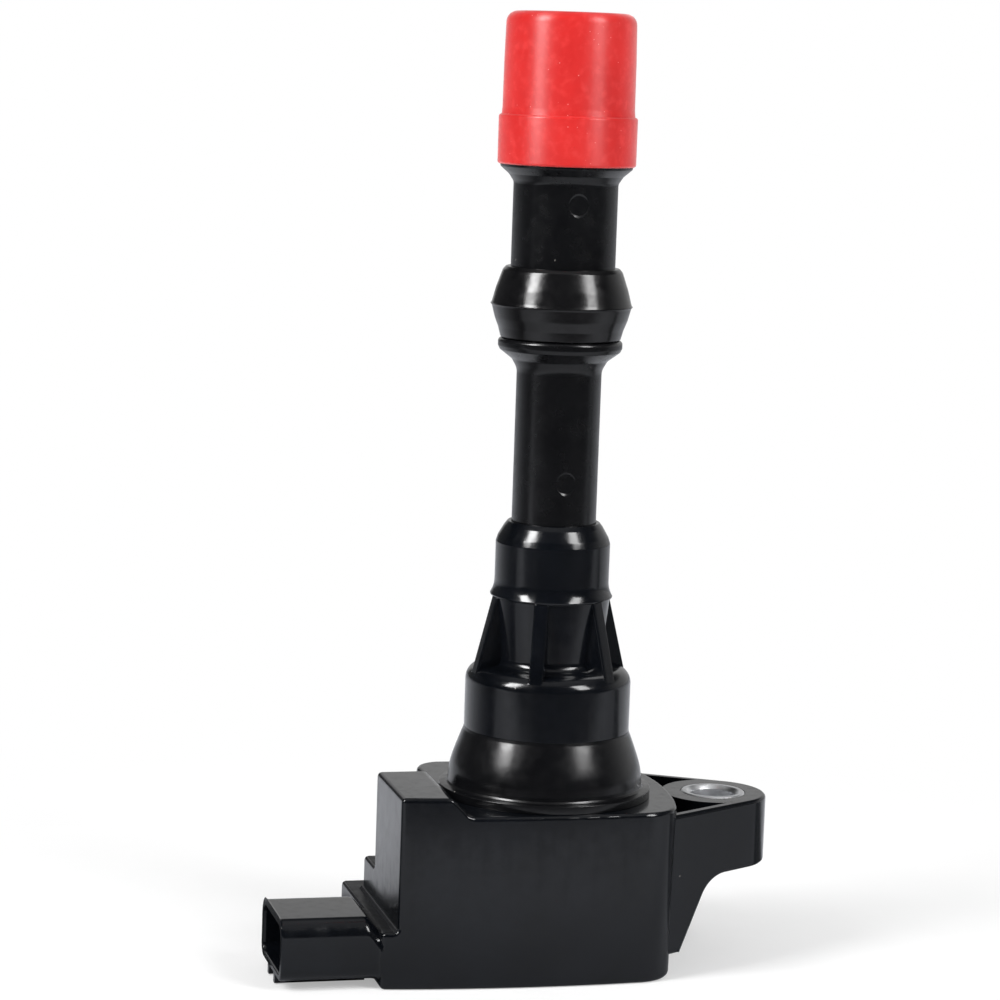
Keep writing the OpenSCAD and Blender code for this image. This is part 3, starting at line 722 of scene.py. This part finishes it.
def build_tower():
    """Spigot, bell with a rounded shoulder, tapering neck, flared lip and collar."""
    o = lathe("tower", [
        (0, 23.6), (10.6, 23.6), (10.6, 34.6), (12.05, 34.6, 0.1),
        *arc(9.85, 41.6, 2.2, 0, 80, 12), *arc(9.0, 45.2, 1.25, 268, 174, 10),
        (8.52, 53.98, 0.15), (8.82, 54.05, 0.06), *arc(12.3, 56.35, 4.0, 211.5, 180, 10),
        (8.3, 61.9, 0.5), (8.02, 62.8, 0.9), (7.15, 64.3, 0.5), (6.65, 64.95, 0.25),
        (6.15, 64.9, 0.1), (6.13, 64.0), (6.13, 54.0), (0, 54.0)], 192, 6)
    ribs = []
    for k in range(6):
        side = [(5.6, 41.8), (11.4, 41.8), (11.7, 42.4), (8.7, 54.16), (5.6, 54.16)]
        t = prism("rib", side, -1.05, 1.05, lambda u, v, w: (u, w, v))
        bevel(t, 0.3, 40)
        t.data.transform(Matrix.Rotation(math.radians(6 + 60 * k), 4, "Z"))
        ribs.append(t)
    combine(o, ribs, "UNION")
    return o


def build_case():
    """The whole moulding, hollowed from below for the resin."""
    o = build_block()
    bead = soften([(-0.6, FOOT_H - 0.3), (-0.6, FOOT_H + 0.05), (-0.25, FOOT_H + 0.5, 0.3),
                   (0.5, FOOT_H + 0.6), (0.5, FOOT_H - 0.3)], 5)
    bead = prism("bead", [(BOX_X + p[0], p[1]) for p in bead], -14.35, STEP_BACK - 0.4,
                 lambda u, v, w: (u, w, v))
    combine(o, [build_ear(), build_shroud(), build_tower(), bead], "UNION")
    wall = 1.8
    tools = [prism("seat", arc(ear_x, ear_y, 4.84, 0, 357, 119), 0, 40),
             prism("c1", block_outline(wall), -1, BLOCK_H - wall),
             prism("c2", box_outline(BOX_X + 1.7, 5, BOX_BACK - 1.7, wall), -1,
                   BLOCK_H - wall - 0.01),
             prism("c3", box_outline(FOOT_X + wall, 5, FOOT_BACK - 1.8, wall), -1,
                   FOOT_H - 1.7)]
    combine(o, tools, "DIFFERENCE")
    tidy(o, 0.05)
    smooth(o, 30)
    weighted(o)
    return dress(o, CASE, "coil", "case_plastic", "coil_case")


build_case()

# ------------------------------------------------------------------ contact train

spring_lo, spring_hi = lo("contact_spring")[2], hi("contact_spring")[2]


def build_spring():
    """Round-wire helix whose end turns lie flat and are ground."""
    turns, r, wire_r, per, sides = 16.0, 2.42, 0.4, 30, 10
    total = int(turns * per)
    z0, z1 = spring_lo + wire_r * 0.6, spring_hi - wire_r * 0.6
    height = []
    for k in range(total + 1):
        t = k / per
        lead = min(t, turns - t, 1.5) / 1.5
        height.append(0.16 + 0.84 * lead * lead * (3 - 2 * lead))
    acc = [0.0]
    for k in range(total):
        acc.append(acc[-1] + (height[k] + height[k + 1]) / 2)
    path = [(r * math.cos(2 * math.pi * k / per), r * math.sin(2 * math.pi * k / per),
             z0 + (z1 - z0) * acc[k] / acc[-1]) for k in range(total + 1)]
    verts, faces = [], []
    for k, p in enumerate(path):
        a = 2 * math.pi * k / per
        out = Vector((math.cos(a), math.sin(a), 0))
        for s in range(sides):
            b = 2 * math.pi * s / sides
            z = p[2] + wire_r * math.sin(b)
            z = min(max(z, spring_lo + 0.01), spring_hi - 0.01)
            q = Vector((p[0], p[1], 0)) + out * wire_r * math.cos(b)
            verts.append((q.x, q.y, z))
    for k in range(total):
        for s in range(sides):
            s2 = (s + 1) % sides
            faces.append([k * sides + s, k * sides + s2, (k + 1) * sides + s2,
                          (k + 1) * sides + s])
    faces += [list(range(sides)), list(range(total * sides, (total + 1) * sides))]
    return smooth(mesh_object("spring_body", verts, faces), 50)


spring = build_spring()
dress(spring, SPRING, "coil", "spring_steel", "contact_spring")
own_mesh(spring)

cz = lo("plug_contact")[2]
contact = lathe("contact_body", [
    (0, cz), (1.2, cz, 0.2), (1.6, cz + 0.6, 0.3), (1.6, cz + 5.0, 0.05), (3.0, cz + 5.0, 0.25),
    (3.0, cz + 6.4, 0.4), (2.5, cz + 7.0, 0.5), (1.3, cz + 7.3, 0.3), (0.9, cz + 6.9, 0.4),
    (0, cz + 6.9)], 96, 5)
smooth(contact)
dress(contact, CONTACT, "contact", "contact_steel", "plug_contact")

# ------------------------------------------------------------------ sealed internals

FINISH = {
    "potting_epoxy": RESIN, "core_leg": STEEL, "core_yoke": STEEL, "bias_magnet": MAGNET,
    "core_buffer": BUFFER, "primary_bobbin": BOBBIN, "primary_winding": COPPER,
    "secondary_bobbin": BOBBIN, "secondary_winding": FINE, "igniter_module": PACKAGE,
    "heat_spreader": SPREADER, "igniter_lead_1": LEAD, "igniter_lead_2": LEAD,
    "igniter_lead_3": LEAD, "primary_strap_1": STRAP, "primary_strap_2": STRAP,
    "connector_pin_1": PIN, "connector_pin_2": PIN, "connector_pin_3": PIN,
    "hv_terminal": BRASS, "hv_resistor": CERAMIC}
for name, material in FINISH.items():
    o = nodes[name]
    o.data.materials.clear()
    o.data.materials.append(material)

# ------------------------------------------------------------------ camera, light, floor

yaw, pitch, roll = (math.radians(a) for a in (-14.16, 7.75, 1.96))
fwd = Vector((-math.sin(yaw) * math.cos(pitch), math.cos(yaw) * math.cos(pitch),
              -math.sin(pitch)))
right = Vector((math.cos(yaw), math.sin(yaw), 0))
up = right.cross(fwd)
cam_right = right * math.cos(roll) + up * math.sin(roll)
cam_up = up * math.cos(roll) - right * math.sin(roll)
cam_data = bpy.data.cameras.new("camera")
cam_data.lens, cam_data.sensor_width = 114.98, 36.0
cam_data.clip_start, cam_data.clip_end = 0.01, 20
cam = bpy.data.objects.new("camera", cam_data)
cam.matrix_world = Matrix.Translation((-0.11968, -0.44217, 0.13005)) @ Matrix(
    (cam_right, cam_up, -fwd)).transposed().to_4x4()
scene.collection.objects.link(cam)
scene.camera = cam
scene.view_settings.view_transform = "Standard"


def backdrop(nt, vector, lo_level, hi_level):
    """Brightness by compass direction: bright behind the object, dim in front of it."""
    flat = add(nt, "ShaderNodeVectorMath", operation="MULTIPLY")
    flat.inputs[1].default_value = (1, 1, 0)
    nt.links.new(vector, flat.inputs[0])
    unit = add(nt, "ShaderNodeVectorMath", operation="NORMALIZE")
    nt.links.new(flat.outputs[0], unit.inputs[0])
    turn = add(nt, "ShaderNodeVectorMath", operation="DOT_PRODUCT")
    turn.inputs[1].default_value = (math.cos(math.radians(70)), math.sin(math.radians(70)), 0)
    nt.links.new(unit.outputs[0], turn.inputs[0])
    return span(nt, turn.outputs["Value"], -0.2, 0.75, lo_level, hi_level)


def floor():
    """White paper under the part, which gloss sees as a painted reflection of the studio in
    front and behind.
    """
    bm = bmesh.new()
    bmesh.ops.create_circle(bm, cap_ends=True, segments=96, radius=6.0)
    me = bpy.data.meshes.new("floor")
    bm.to_mesh(me)
    bm.free()
    o = bpy.data.objects.new("floor", me)
    o.location.z = -0.00002
    scene.collection.objects.link(o)
    m, nt, b = new_material("floor_paper")
    b.inputs["Roughness"].default_value = 0.7
    b.inputs["Specular IOR Level"].default_value = 0.2
    tex = add(nt, "ShaderNodeTexCoord")
    sep = add(nt, "ShaderNodeSeparateXYZ")
    nt.links.new(tex.outputs["Object"], sep.inputs[0])
    x, y = sep.outputs["X"], sep.outputs["Y"]
    grain = noise(nt, tex.outputs["Object"], 60.0, 3)
    near = mix(nt, span(nt, grain, 0.3, 0.7), (0.90, 0.90, 0.90), (0.93, 0.93, 0.93))
    # painted reflection: gloss sees a strip of bright paper in front, then a dim room, and the
    # backdrop behind
    path = add(nt, "ShaderNodeLightPath")
    strip = arith(nt, "MULTIPLY", span(nt, y, -0.135, -0.1, 0, 0.78),
                  span(nt, y, -0.075, -0.02, 1, 0.65))
    behind = arith(nt, "MULTIPLY", span(nt, y, 0.033, 0.042, 0.15, 1),
                   backdrop(nt, tex.outputs["Object"], 0.08, 0.9))
    is_front = arith(nt, "LESS_THAN", y, 0.0)
    front = arith(nt, "MULTIPLY", arith(nt, "MAXIMUM", strip, 0.05), is_front)
    back = arith(nt, "MULTIPLY", behind, arith(nt, "SUBTRACT", 1.0, is_front))
    painted_reflection = mix(nt, arith(nt, "ADD", front, back), (0.0, 0.0, 0.0), (0.78, 0.8, 0.85))
    nt.links.new(mix(nt, path.outputs["Is Glossy Ray"], near, painted_reflection), b.inputs["Base Color"])
    # away from the object the paper melts into the white backdrop: for the camera it is a
    # painted glow, full away from the object and partial near it, which pales its shadow
    reach = add(nt, "ShaderNodeVectorMath", operation="LENGTH")
    nt.links.new(tex.outputs["Object"], reach.inputs[0])
    painted_glow = add(nt, "ShaderNodeEmission")
    blend = add(nt, "ShaderNodeMixShader")
    melt = arith(nt, "MULTIPLY", span(nt, reach.outputs["Value"], 0.0, 0.16, 0.3, 1),
                 path.outputs["Is Camera Ray"])
    nt.links.new(melt, blend.inputs[0])
    nt.links.new(b.outputs[0], blend.inputs[1])
    nt.links.new(painted_glow.outputs[0], blend.inputs[2])
    nt.links.new(blend.outputs[0], nt.nodes["Material Output"].inputs["Surface"])
    o.data.materials.append(m)
    o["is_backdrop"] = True


def softbox(name, azimuth, elevation, distance, width, height, shine, fill):
    """Area light aimed at the tower; azimuth is measured from the camera's side.
    Its mirror image and its soft light have their own powers."""
    a = math.radians(azimuth) + yaw - math.pi / 2
    e = math.radians(elevation)
    target = Vector((0, 0, 0.06))
    way = Vector((math.cos(a) * math.cos(e), math.sin(a) * math.cos(e), math.sin(e)))
    for kind, power in (("shine", shine), ("fill", fill)):
        d = bpy.data.lights.new(f"{name}_{kind}", "AREA")
        d.shape, d.size, d.size_y, d.energy = "RECTANGLE", width, height, power
        o = bpy.data.objects.new(d.name, d)
        o.location = target + way * distance
        o.rotation_euler = way.to_track_quat("Z", "Y").to_euler()
        o.visible_diffuse = kind == "fill"
        o.visible_glossy = kind == "shine"
        scene.collection.objects.link(o)


def room():
    """Studio world: white to the camera, a dim room with a lit backdrop to gloss."""
    w = bpy.data.worlds.new("room")
    scene.world = w
    w.use_nodes = True
    nt = w.node_tree
    bg = nt.nodes["Background"]
    tex = add(nt, "ShaderNodeTexCoord")
    sep = add(nt, "ShaderNodeSeparateXYZ")
    nt.links.new(tex.outputs["Generated"], sep.inputs[0])
    level = backdrop(nt, tex.outputs["Generated"], 0.03, 0.62)
    # the backdrop stands only right of the object, and ends a little above it
    level = arith(nt, "MULTIPLY", level, span(nt, sep.outputs["X"], -0.22, -0.08, 0.15, 1))
    level = arith(nt, "MULTIPLY", level, span(nt, sep.outputs["Z"], 0.34, 0.5, 1, 0.1))
    level = arith(nt, "ADD", level, span(nt, sep.outputs["Z"], 0.7, 0.97, 0, 0.45))
    path = add(nt, "ShaderNodeLightPath")
    lit = arith(nt, "MAXIMUM", level, path.outputs["Is Camera Ray"])
    lit = arith(nt, "MAXIMUM", lit,
                arith(nt, "MULTIPLY", path.outputs["Is Diffuse Ray"], 0.48))
    nt.links.new(lit, bg.inputs["Strength"])
    bg.inputs["Color"].default_value = (1, 1, 1, 1)


floor()
room()
softbox("softbox_left", -58, 37, 0.95, 0.26, 0.48, 13.0, 7.8)
softbox("softbox_right", 54, 37, 0.95, 0.28, 0.48, 7.4, 5.4)

bpy.context.view_layer.update()
size_log["visual_box"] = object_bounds()


def plain(v):
    return [plain(x) for x in v] if hasattr(v, "__len__") else float(v)


{k: plain(v) for k, v in size_log.items()}
